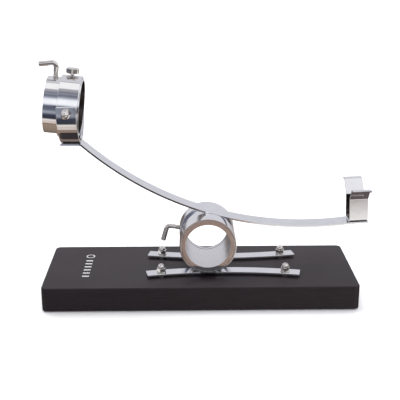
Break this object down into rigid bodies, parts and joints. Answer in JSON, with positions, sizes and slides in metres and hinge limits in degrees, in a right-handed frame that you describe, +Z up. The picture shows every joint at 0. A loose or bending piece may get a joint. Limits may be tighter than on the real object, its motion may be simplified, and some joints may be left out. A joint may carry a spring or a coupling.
{
  "type": "tilting ham stand",
  "caption": "Tilting ham stand: a rocking arm on a horizontal hub over a black board, with a two-ring hoof holder at its high end and a flared U-shaped cradle at its low end.",
  "frame": {"origin": "on the floor, straight below the hub's tilt axis and midway between the hub's two collars", "axes": "+X along the board from the hoof holder to the cradle, +Y from the front long side to the rear one, along the hub's axis, +Z up"},
  "size_m": [0.5227, 0.18, 0.3807],
  "materials": {
    "board": "black lacquer, satin",
    "chrome": "chromed steel, polished",
    "steel": "nickel-plated steel",
    "rubber": "matt"
  },
  "bodies": {
    "base": {"base_board": "board", "foot_front_left": "rubber", "foot_front_right": "rubber", "foot_rear_left": "rubber", "foot_rear_right": "rubber", "strap_front": "chrome", "strap_rear": "chrome", "hub_collar_front": "chrome", "hub_collar_rear": "chrome", "base_bolt_front_left": "steel", "base_bolt_front_right": "steel", "base_bolt_rear_left": "steel", "base_bolt_rear_right": "steel", "bolt_washer_front_left": "steel", "bolt_washer_front_right": "steel", "bolt_washer_rear_left": "steel", "bolt_washer_rear_right": "steel", "strap_spacer_front_left": "steel", "strap_spacer_front_right": "steel", "strap_spacer_rear_left": "steel", "strap_spacer_rear_right": "steel", "strap_washer_front_left": "steel", "strap_washer_front_right": "steel", "strap_washer_rear_left": "steel", "strap_washer_rear_right": "steel", "dome_nut_front_left": "steel", "dome_nut_front_right": "steel", "dome_nut_rear_left": "steel", "dome_nut_rear_right": "steel"},
    "gondola": {"hub_tube": "chrome", "gondola_arm": "chrome", "ring_fork": "chrome", "ham_cradle": "chrome"},
    "hub_lever": {"hub_lock_lever": "steel"},
    "head": {"outer_sleeve": "chrome", "pivot_stud_front": "steel", "pivot_stud_rear": "steel", "pivot_spacer_front": "steel", "pivot_spacer_rear": "steel", "pivot_washer_front": "steel", "pivot_washer_rear": "steel", "pivot_nut_front": "steel", "pivot_nut_rear": "steel"},
    "hoof_ring": {"hoof_ring": "chrome", "hoof_spike_1": "steel", "hoof_spike_2": "steel"},
    "hoof_clamp": {"hoof_clamp_screw": "steel"},
    "ring_lock": {"ring_lock_screw": "steel"}
  },
  "joints": [
    {"name": "gondola_tilt", "type": "hinge", "parent": "base", "child": "gondola", "pos_m": [0, 0, 0.0915], "axis": [0, 1, 0], "range_deg": [-35, 14]},
    {"name": "hub_lever_turn", "type": "hinge", "parent": "base", "child": "hub_lever", "pos_m": [0, 0.026, 0.0915], "axis": [-0.9882, 0, 0.153], "range_deg": [-15, 180]},
    {"name": "head_tilt", "type": "hinge", "parent": "gondola", "child": "head", "pos_m": [-0.2135, 0, 0.30896], "axis": [0, 1, 0], "range_deg": [-8, 30]},
    {"name": "ring_spin", "type": "hinge", "parent": "head", "child": "hoof_ring", "pos_m": [-0.2135, 0, 0.30896], "axis": [0.9945, 0, -0.1045], "continuous": true},
    {"name": "hoof_clamp_travel", "type": "slide", "parent": "hoof_ring", "child": "hoof_clamp", "axis": [-0.1045, 0, -0.9945], "range_m": [0, 0.014]},
    {"name": "ring_lock_turn", "type": "hinge", "parent": "head", "child": "ring_lock", "pos_m": [-0.2135, 0, 0.30896], "axis": [0.1045, 0, 0.9945], "range_deg": [-45, 360]}
  ]
}
